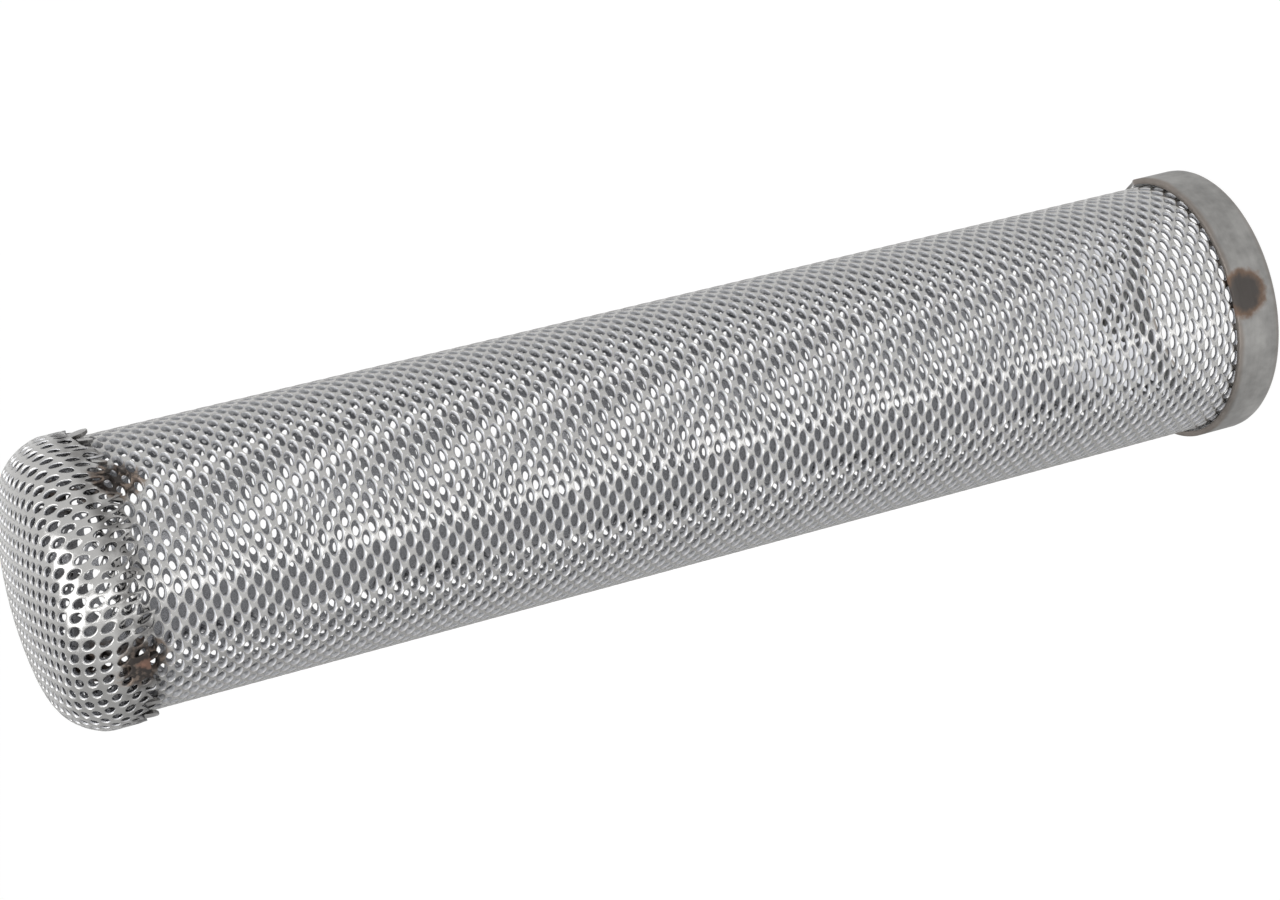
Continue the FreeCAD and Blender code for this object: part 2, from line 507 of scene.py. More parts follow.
def finished(g, into, sheet, position):
    """Moves every point of the flat sheet to its place and sets the material."""
    _, _, height = g.place()
    noted = g.node(
        "GeometryNodeStoreNamedAttribute",
        {"Geometry": sheet, "Name": "depth", "Value": height / into["Thickness"] * -1.0},
        data_type="FLOAT",
        domain="POINT",
    ).outputs[0]
    shaped = g.moved(noted, position)
    real = g.node("GeometryNodeRealizeInstances", {"Geometry": shaped}).outputs[0]
    steel = g.node("GeometryNodeSetMaterial", {"Geometry": real, "Material": into["Material"]})
    g.close("Geometry", Geometry=steel.outputs[0])
    return g.tree


def rolled_sheet_tree():
    """Perforated sheet rolled into part of a tube, with its rows round the tube from the seam."""
    g = Graph(bpy.data.node_groups.new("Rolled sheet", "GeometryNodeTree"))
    into = g.open(SHEET_INPUTS + [("Radius", "Float"), ("Foot", "Float"), ("Seam", "Float")])
    sheet = joined_cells(g, into, lattice(g, into), [("Cell", True)])
    along, around, depth = g.place()
    turn = into["Seam"] + around / into["Radius"]
    place = g.round_axis(into["Radius"] + depth, turn, along + into["Foot"])
    return finished(g, into, sheet, place)


# The cap's rim: cut back at its two sides, sunk, folded, lifted and slipped by at most these
SIDE_TRIM = 0.5 * MM
RIM_SINK = 0.1 * MM
DEEPEST_FOLD = 0.44 * MM
HIGHEST_LIFT = 0.16 * MM
RIM_SLIP = 0.9 * MM

# Inputs of the drawn sheet that have the names of the cap's own sizes
CAP_INPUTS = (
    "Shoulder Radius",
    "Crown Radius",
    "Stretch",
    "Ragged",
    "Wrinkle",
    "Wrinkle Pitch",
    "Rim Press",
    "Pinch Reach",
    "Closed",
    "Flare",
)


def drawn_sheet_tree():
    """A disc of perforated sheet drawn over a shallow crown, a round shoulder and a skirt."""
    g = Graph(bpy.data.node_groups.new("Drawn sheet", "GeometryNodeTree"))
    lengths = CAP_INPUTS + ("Disc Radius", "Skirt Radius", "Shoulder Height", "Turn", "Seed")
    others = [("Pinched Cell", "Object"), ("Plain Cell", "Object")]
    others += [("Weld %d" % number, "Vector") for number in range(len(CAP_WELDS))]
    into = g.open(SHEET_INPUTS + others + [(name, "Float") for name in lengths])
    shoulder, crown = into["Shoulder Radius"], into["Crown Radius"]
    inner_reach = into["Skirt Radius"] - shoulder
    swing = crown - shoulder
    meeting = (inner_reach / swing).math("ARCSINE")
    crown_arc = crown * meeting
    shoulder_arc = shoulder * (math.pi / 2 - meeting)

    points = lattice(g, into)
    x, y, _ = g.place()
    half_along = (into["Holes"] - 0.5) * into["Pitch"] / 2.0
    centred = g.moved(points, g.join(x - half_along, y, 0.0))
    reach = (x * x + y * y).math("SQRT")
    rim_noise = g.noise(g.join(x, y, 0.0), 420.0, into["Seed"])
    bare_side = (y.math("ARCTAN2", x) + into["Turn"] - math.pi / 2).math("COSINE").math("ABSOLUTE")
    trim = (rim_noise - 0.5) * into["Ragged"] - bare_side.ramp(0.9, 0.96) * SIDE_TRIM
    beyond = reach.math("GREATER_THAN", into["Disc Radius"] + trim)
    disc = g.node(
        "GeometryNodeDeleteGeometry", {"Geometry": centred, "Selection": beyond}, domain="POINT"
    ).outputs[0]
    pinched = (reach + (rim_noise - 0.5) * 2.0 * MM).math("GREATER_THAN", into["Pinch Reach"])
    melted = None
    for number in range(len(CAP_WELDS)):
        ends = {0: g.join(x, y, 0.0), 1: into["Weld %d" % number]}
        away = g.node("ShaderNodeVectorMath", ends, operation="DISTANCE")
        near = g.value(away.outputs["Value"]).math("LESS_THAN", into["Closed"])
        melted = near if melted is None else melted.at_least(near)
    unmelted = 1.0 - melted
    kinds = [
        ("Cell", (1.0 - pinched) * unmelted),
        ("Pinched Cell", pinched * unmelted),
        ("Plain Cell", melted),
    ]
    sheet = joined_cells(g, into, disc, kinds)

    x, y, depth = g.place()
    reach = (x * x + y * y).math("SQRT")
    past_crown = (reach - crown_arc).at_least(0.0) * into["Stretch"]
    down_skirt = (past_crown - shoulder_arc).at_least(0.0)
    crown_tilt = reach.at_most(crown_arc) / crown
    tilt = crown_tilt + past_crown.at_most(shoulder_arc) / shoulder
    rimward = past_crown.ramp(shoulder_arc * 0.55, shoulder_arc * 1.35)

    heading = y.math("ARCTAN2", x) + into["Turn"]
    rim_place = g.join(
        heading.math("COSINE") * into["Skirt Radius"],
        heading.math("SINE") * into["Skirt Radius"],
        past_crown * 0.45 + heading * 0.004,
    )
    waves = 1.0 / into["Wrinkle Pitch"]
    wave = g.noise(rim_place, waves, into["Seed"] + 3.0, 1.0) - 0.5
    shear = g.noise(rim_place, waves * 0.8, into["Seed"] + 9.0, 1.0) - 0.5
    slip = g.noise(rim_place, waves * 0.8, into["Seed"] + 14.0, 1.0) - 0.5
    turn = heading + (shear + wave * 0.4) * rimward * 0.085
    pressed = depth * (1.0 - rimward * (1.0 - into["Rim Press"]))
    side = (heading - math.pi / 2).math("COSINE").math("ABSOLUTE")
    flare = side.ramp(0.85, 0.97) * rimward * into["Flare"]
    fold = (wave.math("ABSOLUTE") * 2.4).at_most(1.0)
    lift = rimward * (into["Wrinkle"] * (0.35 - fold) - RIM_SINK).at_least(-DEEPEST_FOLD)
    lift = (lift + flare).at_most(HIGHEST_LIFT)
    drop = down_skirt + rimward * slip * RIM_SLIP
    bend = shoulder + pressed + lift
    radius = bend * tilt.math("SINE") + swing * crown_tilt.math("SINE")
    height = (
        into["Shoulder Height"]
        + bend * tilt.math("COSINE")
        + swing * (crown_tilt.math("COSINE") - meeting.math("COSINE"))
        - drop
    )
    return finished(g, into, sheet, g.round_axis(radius, turn, height))


def grown(name, tree, inputs):
    """The plain mesh that a geometry tree makes, as a new object at the origin."""
    host = bpy.data.objects.new(name, bpy.data.meshes.new(name))
    bpy.context.scene.collection.objects.link(host)
    modifier = host.modifiers.new(tree.name, "NODES")
    modifier.node_group = tree
    for item in tree.interface.items_tree:
        if item.in_out == "INPUT":
            modifier[item.identifier] = inputs[item.name]
    graph = bpy.context.evaluated_depsgraph_get()
    mesh = bpy.data.meshes.new_from_object(
        host.evaluated_get(graph), preserve_all_data_layers=True, depsgraph=graph
    )
    if not mesh.polygons:
        raise RuntimeError(name + " came out with no faces")
    host.modifiers.remove(modifier)
    host.data = mesh
    mesh.name = name
    turn_outwards(mesh)
    return host


def turn_outwards(mesh):
    """Turns the faces of a closed mesh outwards."""
    work = bmesh.new()
    work.from_mesh(mesh)
    bmesh.ops.recalc_face_normals(work, faces=work.faces)
    if work.calc_volume(signed=True) < 0:
        bmesh.ops.reverse_faces(work, faces=work.faces)
    work.to_mesh(mesh)
    work.free()


def belongs(piece, node):
    """Puts a finished piece on the part's one body, in the place of a node."""
    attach(piece, "root")
    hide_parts(node)


def sheet_inputs(sheet, tube, cell, material):
    return {
        "Cell": cell,
        "Material": material,
        "Pitch": sheet.pitch,
        "Row Spacing": row_spacing(tube),
        "Thickness": sheet.thickness,
    }


# Shared effects as node groups, and the materials

def worn_steel_group():
    """Faint smudges and fine scratches: a tone, a roughness change and a bump normal."""
    g = Graph(bpy.data.node_groups.new("Worn steel", "ShaderNodeTree"))
    into = g.open([("Vector", "Vector"), ("Grain", "Float"), ("Bump", "Float"), ("Seed", "Float")])
    cloud = g.noise(into["Vector"], 160.0, into["Seed"], 3.0)
    fine = g.noise(into["Vector"], into["Grain"], into["Seed"] + 5.0, 3.0)
    tone = 0.86 + cloud * 0.16 + fine * 0.12
    rough = (cloud - 0.5) * 0.18 + (fine - 0.5) * 0.16
    bump = g.node("ShaderNodeBump", {"Strength": into["Bump"], "Distance": 0.02 * MM, "Height": fine})
    kinds = {"Tone": "Float", "Rough": "Float", "Normal": "Vector"}
    g.close(kinds, Tone=tone, Rough=rough, Normal=bump.outputs[0])
    return g.tree


def weld_mark_group():
    """A scorched spot: an uneven distance from its centre, 1 at its edge, and a mask of its pits."""
    g = Graph(bpy.data.node_groups.new("Weld mark", "ShaderNodeTree"))
    places = [("Vector", "Vector"), ("Centre", "Vector")]
    into = g.open(places + [("Size", "Float"), ("Ragged", "Float"), ("Seed", "Float")])
    away = g.node("ShaderNodeVectorMath", {0: into["Vector"], 1: into["Centre"]}, operation="DISTANCE")
    ragged = g.noise(into["Vector"], 1300.0, into["Seed"], 4.0)
    patch = g.noise(into["Vector"], 420.0, into["Seed"] + 4.0, 2.0)
    uneven = (ragged - 0.5) * 1.1 + (patch - 0.5) * 0.8
    reach = g.value(away.outputs["Value"]) / into["Size"] + uneven * into["Ragged"]
    pits = (ragged + (patch - 0.5) * 0.3 - reach * 0.06).ramp(0.38, 0.48)
    g.close("Float", Reach=reach, Pits=pits)
    return g.tree


def placed_group(g, tree, terms):
    """A node group in a material, with its inputs set or linked by name."""
    made = g.node("ShaderNodeGroup", node_tree=tree)
    for name, term in terms.items():
        g.put(made.inputs[name], term)
    return made


def shader(name):
    """A new material with a Principled BSDF, its graph and its Object coordinates."""
    material = bpy.data.materials.new(name)
    material.use_nodes = True
    g = Graph(material.node_tree)
    surface = g.node("ShaderNodeBsdfPrincipled")
    end = g.node("ShaderNodeOutputMaterial")
    g.put(end.inputs["Surface"], surface.outputs[0])
    where = g.node("ShaderNodeTexCoord").outputs["Object"]
    return material, g, surface, where


def on_front(radius, angle_from_front, height):
    """A place on the part's side, from the angle round the axis and the height."""
    return (radius * math.sin(angle_from_front), -radius * math.cos(angle_from_front), height)


def sheet_material(finish, cap, worn, weld):
    """Bright punched steel, scorched where the cap is welded to the tube, with painted shade on the inner
    side, in the holes and along the cap's rim, and a painted highlight on the walls of the holes.
    """
    material, g, surface, where = shader("punched_steel")
    wear = placed_group(g, worn, {"Vector": where, "Grain": 2600.0, "Bump": 0.25, "Seed": 1.0})
    depth = g.value(g.node("ShaderNodeAttribute", attribute_name="depth").outputs["Fac"])
    _, _, z = g.split(where)
    # Painted shade: the inner side and the deep part of each hole are darkened, in the cap's holes sooner
    # and more.
    in_cap = z.ramp(CAP_RIM_HEIGHT, CAP_RIM_HEIGHT + 1.5 * MM)
    inside = (depth * (1.0 + in_cap)).ramp(0.5, 1.0)
    wall = depth.ramp(0.05, 0.3) * (1.0 - inside)
    bare = g.blend(wall.at_least(inside), opaque(finish.sheet_colour), opaque(finish.cut_colour))
    base = g.node("ShaderNodeVectorMath", {0: bare}, operation="SCALE")
    dimmed = 1.0 - finish.inside_shade + in_cap * finish.cap_hole_painted_shade
    tone = g.value(wear.outputs["Tone"]) * (1.0 - inside * dimmed)
    # Painted highlight: the walls of the holes are made lighter.
    g.put(base.inputs["Scale"], tone * (1.0 + wall * finish.wall_painted_highlight))
    shade = base.outputs[0]
    burnt = None
    for number, (turn, height, size, has_core) in enumerate(CAP_WELDS):
        centre = on_front(cap.radius, turn, height)
        terms = {"Vector": where, "Centre": centre, "Size": size, "Ragged": 1.0, "Seed": 2.0 + number}
        mark = placed_group(g, weld, terms)
        reach, pits = g.value(mark.outputs["Reach"]), g.value(mark.outputs["Pits"])
        halo = 1.0 - reach.ramp(0.75, 1.2)
        shade = g.blend(halo * 0.8, shade, opaque(finish.tint_colour))
        shade = g.blend(pits * halo * 0.93, shade, opaque(finish.soot_colour))
        if has_core:
            shade = g.blend((1.0 - reach.ramp(-0.05, 0.3)) * 0.9, shade, opaque(finish.copper_colour))
        burnt = halo if burnt is None else burnt.at_least(halo)
    # Painted shade along the cap's rim, in the colour of soot, where the rim meets the tube and folds.
    off_painted_rim_shade = (z - finish.painted_rim_shade_height).math("ABSOLUTE")
    painted_rim_shade = g.noise(where, 520.0, 3.0, 3.0).ramp(0.3, 0.62) * (1.0 - off_painted_rim_shade.ramp(0.9 * MM, 2.8 * MM))
    shade = g.blend(painted_rim_shade * finish.painted_rim_shade, shade, opaque(finish.soot_colour))
    g.put(surface.inputs["Base Color"], shade)
    g.put(surface.inputs["Metallic"], (1.0 - burnt * 0.45) * (1.0 - wall * finish.wall_matt))
    rough = finish.sheet_roughness + g.value(wear.outputs["Rough"])
    g.put(surface.inputs["Roughness"], rough + burnt * 0.25 + wall * finish.wall_grain)
    g.put(surface.inputs["Normal"], wear.outputs["Normal"])
    return material


def ring_material(finish, ring, worn, weld):
    """Dull rolled steel with streaks round the ring, tinted edges, one spot weld and painted light on its
    inner side.
    """
    material, g, surface, where = shader("dull_ring_steel")
    wear = placed_group(g, worn, {"Vector": where, "Grain": 900.0, "Bump": 0.3, "Seed": 11.0})
    x, y, z = g.split(where)
    streak_place = g.join(x * 0.04, y * 0.04, z)
    streak = g.noise(streak_place, 2400.0, 4.0, 2.0)
    blotch = g.noise(where, 240.0, 6.0, 3.0)
    speck = g.noise(where, 900.0, 15.0, 3.0)
    mottling = 0.78 + streak * 0.3 + (blotch - 0.5) * 1.1 + (speck - 0.5) * 0.5
    base = g.node("ShaderNodeVectorMath", {0: finish.ring_colour}, operation="SCALE")
    g.put(base.inputs["Scale"], g.value(wear.outputs["Tone"]) * mottling)
    edge = 1.0 - (z - 0.2 * MM).ramp(0.0, 1.1 * MM)
    rim = (z + blotch * MM).ramp(RING_HIGH[2] - 0.3 * MM, RING_HIGH[2] + 0.4 * MM)
    tint = ((edge * 0.55).at_least(rim * 0.7)) * (0.4 + blotch)
    shade = g.blend(tint * 0.6, base.outputs[0], opaque(finish.tint_colour))
    centre = on_front(RING_HIGH[0], *RING_WELD)
    terms = {"Vector": where, "Centre": centre, "Size": ring.weld_size, "Ragged": 0.45, "Seed": 8.0}
    reach = g.value(placed_group(g, weld, terms).outputs["Reach"])
    halo, soot = 1.0 - reach.ramp(0.8, 1.1), 1.0 - reach.ramp(0.55, 0.95)
    shade = g.blend(halo * 0.8, shade, opaque(finish.ring_tint_colour))
    shade = g.blend(soot * 0.9, shade, opaque(finish.ring_soot_colour))
    # Painted light: the ring's inner side and lip get a pale, less metallic colour, though little light
    # reaches them.
    from_axis = (x * x + y * y).math("SQRT")
    inner = 1.0 - from_axis.ramp(RING_HIGH[0] - 0.5 * MM, RING_HIGH[0] - 0.3 * MM)
    near_rim = z.ramp(RING_HIGH[2] - 0.8 * MM, RING_HIGH[2] - 0.5 * MM)
    inner = inner * z.ramp(0.25 * MM, 0.5 * MM) * (1.0 - near_rim)
    shade = g.blend(inner, shade, opaque(finish.painted_inner_light_colour))
    g.put(surface.inputs["Base Color"], shade)
    g.put(surface.inputs["Metallic"], (1.0 - halo * 0.35) * (1.0 - inner * finish.wall_matt))
    g.put(
        surface.inputs["Roughness"],
        finish.ring_roughness + g.value(wear.outputs["Rough"]) + (streak - 0.5) * 0.2 + halo * 0.15,
    )
    g.put(surface.inputs["Normal"], wear.outputs["Normal"])
    return material


def steel(name):
    """The named material, made with its groups the first time that a piece asks for it."""
    if name not in bpy.data.materials:
        scene = bpy.context.scene
        worn, weld = worn_steel_group(), weld_mark_group()
        sheet_material(scene.strainer_finish, scene.strainer_cap, worn, weld)
        ring_material(scene.strainer_finish, scene.strainer_ring, worn, weld)
    return bpy.data.materials[name]


# Pieces, with the angle and height of the ring's weld and the middle of its cut-down side

RING_WELD = (math.radians(-2), 4.3 * MM)
RING_DIP = math.radians(110)
SECTORS = 4


class STRAINER_OT_tube(bpy.types.Operator):
    """Rolls the perforated tube in sectors and closes it with its lap seam"""

    bl_idname = "strainer.tube"
    bl_label = "Perforated tube"

    def execute(self, context):
        sheet, tube = context.scene.strainer_sheet, context.scene.strainer_tube
        spacing = row_spacing(tube)
        tree = rolled_sheet_tree()
        cell = hole_cell("hole_cell", sheet, spacing, sheet.taper)
        shared = sheet_inputs(sheet, tube, cell, steel("punched_steel"))
        holes = int((TUBE_HIGH[2] - TUBE_LOW[2]) / sheet.pitch - 0.5)
        spare = TUBE_HIGH[2] - TUBE_LOW[2] - (holes + 0.5) * sheet.pitch
        shared.update(
            {
                "Holes": holes,
                "Radius": tube.radius,
                "Foot": TUBE_LOW[2] + (spare + sheet.pitch) / 2,
                "Seam": tube.seam,
            }
        )
        first = (tube.plain_rows + 1) // 2
        last = tube.rows - first
        for sector in range(SECTORS):
            start = first + (last + 1 - first) * sector // SECTORS
            end = first + (last + 1 - first) * (sector + 1) // SECTORS
            rows = {"First Row": start, "Rows": end - start}
            piece = grown("tube_sector_" + "abcd"[sector], tree, {**shared, **rows})
            belongs(piece, "perforated_tube")

        plain = {**shared, "Cell": plain_cell(sheet, spacing)}
        strip = {**plain, "First Row": 1 - first, "Rows": tube.plain_rows}
        belongs(grown("tube_seam", tree, strip), "perforated_tube")
        lap_rows = round(tube.lap / spacing)
        lap = {
            **plain,
            "First Row": -(lap_rows // 2),
            "Rows": lap_rows,
            "Radius": tube.radius - sheet.thickness,
        }
        belongs(grown("tube_lap", tree, lap), "perforated_tube")
        return {"FINISHED"}


SPURS = (math.radians(75), math.radians(-75))
HALF_CELL = 0.5 * MM


def torn_point(turn, width, height, root, lift, lean):
    """A tapered sliver of sheet that points down from the rim, as vertices and faces."""
    vertices = []
    radius = CAP_RIM_RADIUS
    rows = ((-root, 1.0), (0.0, 0.9), (0.45 * height, 0.75), (0.8 * height, 0.5), (height, 0.3))
    for drop, wide in rows:
        out = radius + lift * (drop + root) / (height + root)
        for side, inward in ((-1, 0), (1, 0), (1, 1), (-1, 1)):
            along = (side * wide * width / 2 + lean * drop) / radius
            thick = 0.42 * MM * (1.0 - 0.25 * max(drop, 0.0) / height)
            vertices.append(on_front(out - inward * thick, turn + along, CAP_RIM_HEIGHT - drop))
    faces = [(3, 2, 1, 0), (16, 17, 18, 19)]
    for step in range(4):
        for side in range(4):
            start, beside = 4 * step + side, 4 * step + (side + 1) % 4
            faces.append((start, beside, beside + 4, start + 4))
    return vertices, faces


def torn_rim(cap):
    """Broken webs round the cap's rim: many short points and two long spurs that stand off."""
    chance = random.Random(cap.seed)
    parts = [torn_point(turn, 1.7 * MM, cap.spur, 1.6 * MM, 0.3 * MM, 0.1) for turn in SPURS]
    for step in range(cap.torn_points):
        turn = FULL_TURN * (step + chance.uniform(-0.3, 0.3)) / cap.torn_points
        size = chance.uniform(0.3, 0.6) * MM
        width, lean = chance.uniform(0.5, 0.9) * MM, chance.uniform(-0.6, 0.6)
        parts.append(torn_point(turn, width, size, 0.9 * MM, -0.15 * MM, lean))
    vertices, faces = [], []
    for points, sides in parts:
        faces += [tuple(len(vertices) + place for place in side) for side in sides]
        vertices += points
    mesh = bpy.data.meshes.new("torn_rim")
    mesh.from_pydata(vertices, [], faces)
    turn_outwards(mesh)
    mesh.materials.append(steel("punched_steel"))
    piece = bpy.data.objects.new("torn_rim", mesh)
    bpy.context.scene.collection.objects.link(piece)
    return piece


class STRAINER_OT_cap(bpy.types.Operator):
    """Draws the cap from a disc of the perforated sheet, with wrinkles and burrs at its rim"""

    bl_idname = "strainer.cap"
    bl_label = "Drawn cap"

    def execute(self, context):
        scene = context.scene
        sheet, tube, cap = scene.strainer_sheet, scene.strainer_tube, scene.strainer_cap
        swing = cap.crown_radius - cap.shoulder_radius
        inner_reach = cap.radius - cap.shoulder_radius
        meeting = math.asin(inner_reach / swing)
        shoulder_height = CAP_TOP - cap.crown_radius + swing * math.cos(meeting)
        shoulder_arc = cap.shoulder_radius * (math.pi / 2 - meeting)
        skirt = shoulder_height - CAP_RIM_HEIGHT
        disc_radius = cap.crown_radius * meeting + (shoulder_arc + skirt) / cap.stretch - HALF_CELL
        spacing = row_spacing(tube)
        rows = 2 * int(disc_radius / spacing) + 3
        drawn = hole_cell("drawn_cell", sheet, spacing, cap.taper, (cap.hole_width, cap.hole_height))
        pinched = hole_cell("pinched_cell", sheet, spacing, cap.taper, (cap.pinch, cap.hole_height))
        inputs = sheet_inputs(sheet, tube, drawn, steel("punched_steel"))
        inputs.update(
            {
                "Pinched Cell": pinched,
                "Plain Cell": plain_cell(sheet, spacing),
                "Holes": 2 * int(disc_radius / sheet.pitch) + 3,
                "Rows": rows,
                "First Row": -(rows // 2),
                "Disc Radius": disc_radius,
                "Skirt Radius": cap.radius,
                "Shoulder Height": shoulder_height,
                "Turn": cap.sheet_turn,
                "Seed": float(cap.seed),
            }
        )
        for name in CAP_INPUTS:
            inputs[name] = getattr(cap, name.lower().replace(" ", "_"))
        for number, (turn, height, *_) in enumerate(CAP_WELDS):
            reach = cap.crown_radius * meeting + (shoulder_arc + shoulder_height - height) / cap.stretch
            heading = turn - cap.sheet_turn
            inputs["Weld %d" % number] = (reach * math.cos(heading), reach * math.sin(heading), 0.0)
        piece = grown("drawn_cap", drawn_sheet_tree(), inputs)
        belongs(piece, "end_cap")
        belongs(torn_rim(cap), "end_cap")
        return {"FINISHED"}


def ring_profile(ring):
    """The ring's section as (radius, height) points: wall, bend and inward lip."""
    outer, inner = RING_HIGH[0], RING_HIGH[0] - ring.sheet
    bend_radius = outer - ring.bend
    rim = RING_HIGH[2]
    soft = 0.12 * MM
    points = [(inner, rim), (inner + soft, rim), (outer - soft, rim), (outer, rim - soft)]
    for step in range(1, 6):
        points.append((outer, rim + (ring.bend - rim) * step / 5))
    for step in range(1, 7):
        turn = math.pi / 2 * step / 6
        points.append((bend_radius + ring.bend * math.cos(turn), ring.bend * (1 - math.sin(turn))))
    points.append((MOUTH_RADIUS, 0.0))
    points.append((MOUTH_RADIUS, ring.sheet))
    inside = ring.bend - ring.sheet
    for step in range(5):
        turn = math.pi / 2 * (1 - step / 4)
        points.append((bend_radius + inside * math.cos(turn), ring.bend - inside * math.sin(turn)))
    return points


class STRAINER_OT_ring(bpy.types.Operator):
    """Turns the pressed end ring, with its uneven rim and the dent of its spot weld"""

    bl_idname = "strainer.ring"
    bl_label = "End ring"

    def execute(self, context):
        ring = context.scene.strainer_ring
        profile = ring_profile(ring)
        steps = 192
        weld_turn, weld_height = RING_WELD
        vertices, faces = [], []
        for step in range(steps):
            turn = FULL_TURN * step / steps
            sway = math.sin(2 * turn + 0.8) + 0.6 * math.sin(5 * turn) + 0.3 * math.sin(11 * turn + 2)
            for radius, height in profile:
                share = height / RING_HIGH[2]
                along = (turn - weld_turn + math.pi) % FULL_TURN - math.pi
                away = math.hypot(along * radius / (2.6 * MM), (height - weld_height) / (1.9 * MM))
                far = (turn - RING_DIP + math.pi) % FULL_TURN - math.pi
                dip = ring.rim_dip * math.exp(-((far / math.radians(17)) ** 4)) * share**4
                dent = ring.weld_dent * math.exp(-(away**4)) if radius > RING_HIGH[0] - ring.sheet else 0.0
                x, y, _ = on_front(radius - dent, turn, 0.0)
                vertices.append((x, y, height + (sway - 1.6) * ring.waviness * 0.5 * share**3 - dip))
        count = len(profile)
        for step in range(steps):
            here, after = step * count, (step + 1) % steps * count
            for place in range(count):
                beside = (place + 1) % count
                faces.append((here + place, here + beside, after + beside, after + place))
        mesh = bpy.data.meshes.new("pressed_ring")
        mesh.from_pydata(vertices, [], faces)
        turn_outwards(mesh)
        mesh.materials.append(steel("dull_ring_steel"))
        mesh.shade_smooth()
        mesh.set_sharp_from_angle(angle=math.radians(50))
        piece = bpy.data.objects.new("pressed_ring", mesh)
        bpy.context.scene.collection.objects.link(piece)
        belongs(piece, "end_ring")
        return {"FINISHED"}


# Stage, with the camera's place and its right and up directions, which were fitted to the photo

CAMERA_PLACE = (0.0, -0.3133, 0.1956)
CAMERA_RIGHT = (-0.2455, -0.3585, -0.9007)
CAMERA_UP = (0.9695, -0.0879, -0.2292)
CAMERA_LENS = 90.0
CAMERA_SENSOR = 36.0


def darker_side(g, x, y, stage):
    """The surroundings' brightness in a direction: lower on the side behind the tube towards -X."""
    bearing = x.math("ARCTAN2", y * -1.0)
    off = (bearing + math.radians(125)).math("ABSOLUTE")
    return stage.surround - (1.0 - off.ramp(math.radians(20), math.radians(75))) * stage.side_shade


def floor_material(stage):
    """A pale floor: white to the camera, with its shadow kept, and a bright sector for the metal."""
    material = bpy.data.materials.new("pale_floor")
    material.use_nodes = True
    g = Graph(material.node_tree)
    matt = g.node("ShaderNodeBsdfDiffuse", {"Color": (0.45, 0.45, 0.45, 1.0)})
    rays = g.node("ShaderNodeLightPath").outputs
    x, y, _ = g.split(g.node("ShaderNodeTexCoord").outputs["Object"])
    bearing = x.math("ARCTAN2", y * -1.0)
    off_band = (bearing - stage.band_centre * 2.0).math("ABSOLUTE")
    away = (x * x + y * y).math("SQRT")
    band = (1.0 - off_band.ramp(stage.band_width, stage.band_width * 3.5)) * away.ramp(
        stage.band_start * 0.8, stage.band_start * 1.4
    )
    mouth = 1.0 - away.ramp(MOUTH_RADIUS * 0.9, MOUTH_RADIUS * 1.1)
    level = band * stage.band_strength + mouth * stage.mouth_strength + darker_side(g, x, y, stage)
    reflected = g.node("ShaderNodeEmission", {"Color": (1.0, 1.0, 1.0, 1.0)})
    g.put(reflected.inputs["Strength"], level)
    seen = g.node("ShaderNodeEmission", {"Color": (1.0, 1.0, 1.0, 1.0), "Strength": 1.1})
    kept = g.node("ShaderNodeMixShader", {0: 0.89, 1: matt.outputs[0], 2: seen.outputs[0]})
    through = g.value(rays["Is Camera Ray"]).at_least(g.value(rays["Is Transmission Ray"]))
    to_eye = g.node("ShaderNodeMixShader", {0: through, 1: matt.outputs[0], 2: kept.outputs[0]})
    to_metal = g.node(
        "ShaderNodeMixShader", {0: rays["Is Glossy Ray"], 1: to_eye.outputs[0], 2: reflected.outputs[0]}
    )
    end = g.node("ShaderNodeOutputMaterial")
    g.put(end.inputs["Surface"], to_metal.outputs[0])
    return material


def lamp(name, place, target, size, power):
    light = bpy.data.lights.new(name, "AREA")
    light.shape = "RECTANGLE"
    light.size, light.size_y = size
    light.energy = power
    thing = bpy.data.objects.new(name, light)
    direction = Vector(target) - Vector(place)
    turn = direction.to_track_quat("-Z", "Y").to_matrix().to_4x4()
    thing.matrix_world = Matrix.Translation(place) @ turn
    bpy.context.scene.collection.objects.link(thing)
    return thing


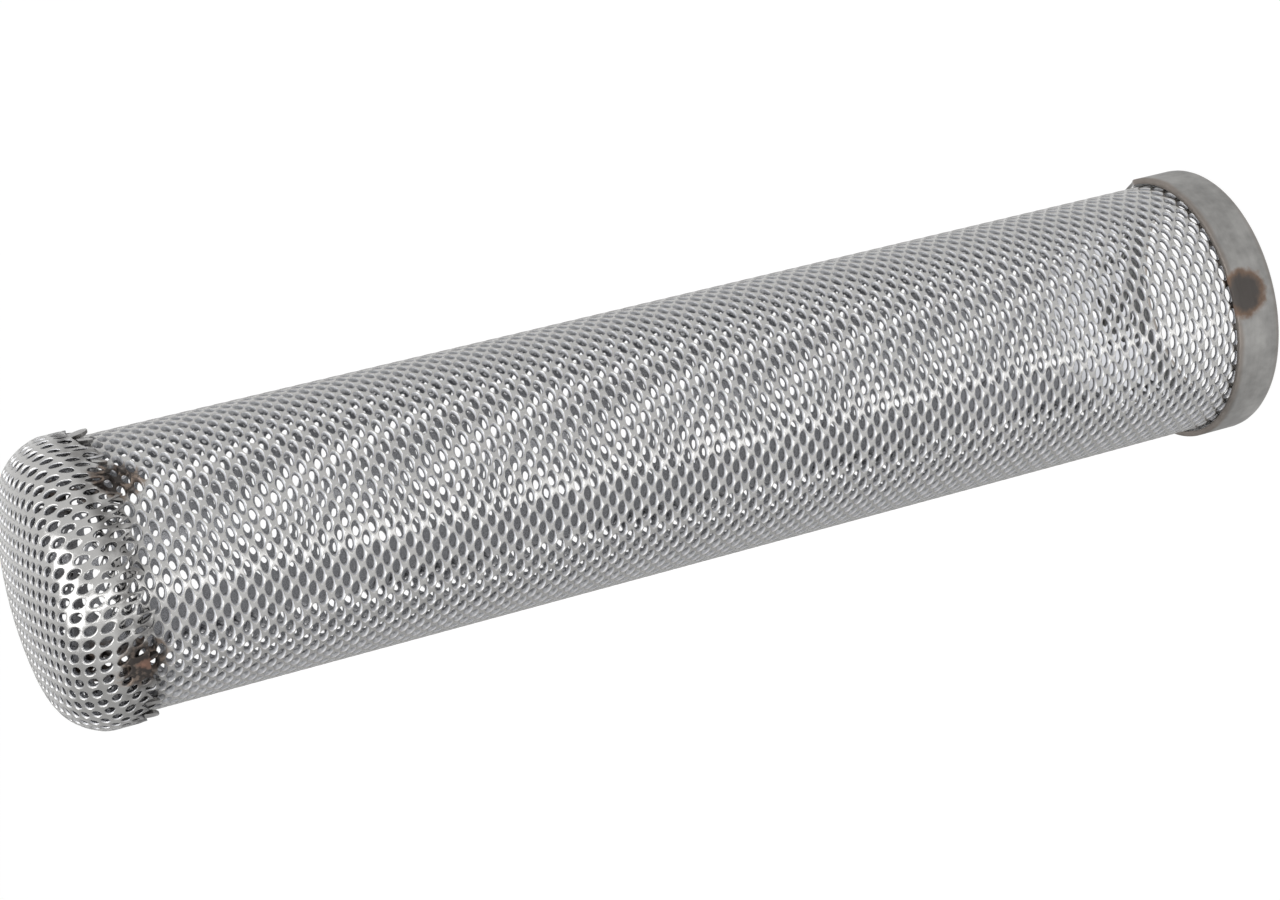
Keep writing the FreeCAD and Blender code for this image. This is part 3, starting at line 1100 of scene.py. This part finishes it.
class STRAINER_OT_stage(bpy.types.Operator):
    """Lays the pale floor, hangs the soft lamps and sets the camera"""

    bl_idname = "strainer.stage"
    bl_label = "Floor, light and camera"

    def execute(self, context):
        scene = context.scene
        stage = scene.strainer_stage
        half = stage.floor_size / 2
        mesh = bpy.data.meshes.new("floor")
        corners = [(-half, -half, 0), (half, -half, 0), (half, half, 0), (-half, half, 0)]
        mesh.from_pydata(corners, [], [(0, 1, 2, 3)])
        mesh.materials.append(floor_material(stage))
        floor = bpy.data.objects.new("floor", mesh)
        scene.collection.objects.link(floor)

        middle = (0.0, 0.0, TUBE_HIGH[2] / 2)
        lamp("top", (-0.02, -0.12, 0.70), middle, (0.5, 0.5), stage.top_power)
        strip = on_front(0.45, stage.band_centre * 2.0, 0.30)
        lamp("strip", strip, (0.0, 0.0, 0.13), (0.06, 0.5), stage.strip_power)
        upper = lamp("upper", (0.0, -0.28, 0.72), middle, (0.15, 0.3), stage.upper_power)
        upper.visible_glossy = False

        world = bpy.data.worlds.new("plain")
        scene.world = world
        world.use_nodes = True
        g = Graph(world.node_tree)
        rays = g.node("ShaderNodeLightPath").outputs
        glossy, matt = g.value(rays["Is Glossy Ray"]), g.value(rays["Is Diffuse Ray"])
        x, y, _ = g.split(g.node("ShaderNodeTexCoord").outputs["Generated"])
        level = 1.0 - glossy * (1.0 - darker_side(g, x, y, stage)) - matt * (1.0 - stage.ambient)
        background = g.node("ShaderNodeBackground", {"Color": (1.0, 1.0, 1.0, 1.0), "Strength": level})
        end = g.node("ShaderNodeOutputWorld")
        g.put(end.inputs["Surface"], background.outputs[0])

        camera = bpy.data.cameras.new("camera")
        camera.lens = CAMERA_LENS
        camera.sensor_width = CAMERA_SENSOR
        camera.clip_start = 0.01
        camera.shift_x = -0.002
        eye = bpy.data.objects.new("camera", camera)
        right, up = Vector(CAMERA_RIGHT).normalized(), Vector(CAMERA_UP)
        up = (up - right * up.dot(right)).normalized()
        turn = Matrix((right, up, right.cross(up))).transposed().to_4x4()
        eye.matrix_world = Matrix.Translation(CAMERA_PLACE) @ turn
        scene.collection.objects.link(eye)
        scene.camera = eye
        scene.view_settings.view_transform = "Standard"
        return {"FINISHED"}


class STRAINER_PT_panel(bpy.types.Panel):
    """Lists the pieces of the strainer insert"""

    bl_idname = "STRAINER_PT_panel"
    bl_label = "Strainer insert"
    bl_space_type = "VIEW_3D"
    bl_region_type = "UI"
    bl_category = "Strainer"

    def draw(self, context):
        for operator in OPERATORS:
            self.layout.operator(operator.bl_idname)
        for name in GROUPS:
            group = getattr(context.scene, name)
            box = self.layout.box()
            for key in group.bl_rna.properties.keys():
                if key not in ("rna_type", "name"):
                    box.prop(group, key)


OPERATORS = (STRAINER_OT_tube, STRAINER_OT_cap, STRAINER_OT_ring, STRAINER_OT_stage)
GROUPS = {
    "strainer_sheet": SheetSizes,
    "strainer_tube": TubeSizes,
    "strainer_cap": CapSizes,
    "strainer_ring": RingSizes,
    "strainer_finish": FinishSettings,
    "strainer_stage": StageSettings,
}


def register():
    for group in GROUPS.values():
        bpy.utils.register_class(group)
    for name, group in GROUPS.items():
        setattr(bpy.types.Scene, name, PointerProperty(type=group))
    for operator in OPERATORS:
        bpy.utils.register_class(operator)
    bpy.utils.register_class(STRAINER_PT_panel)


def unregister():
    bpy.utils.unregister_class(STRAINER_PT_panel)
    for operator in reversed(OPERATORS):
        bpy.utils.unregister_class(operator)
    for name, group in GROUPS.items():
        delattr(bpy.types.Scene, name)
        bpy.utils.unregister_class(group)


def main():
    register()
    bpy.ops.strainer.tube()
    bpy.ops.strainer.cap()
    bpy.ops.strainer.ring()
    bpy.ops.strainer.stage()


if __name__ == "__main__":
    main()
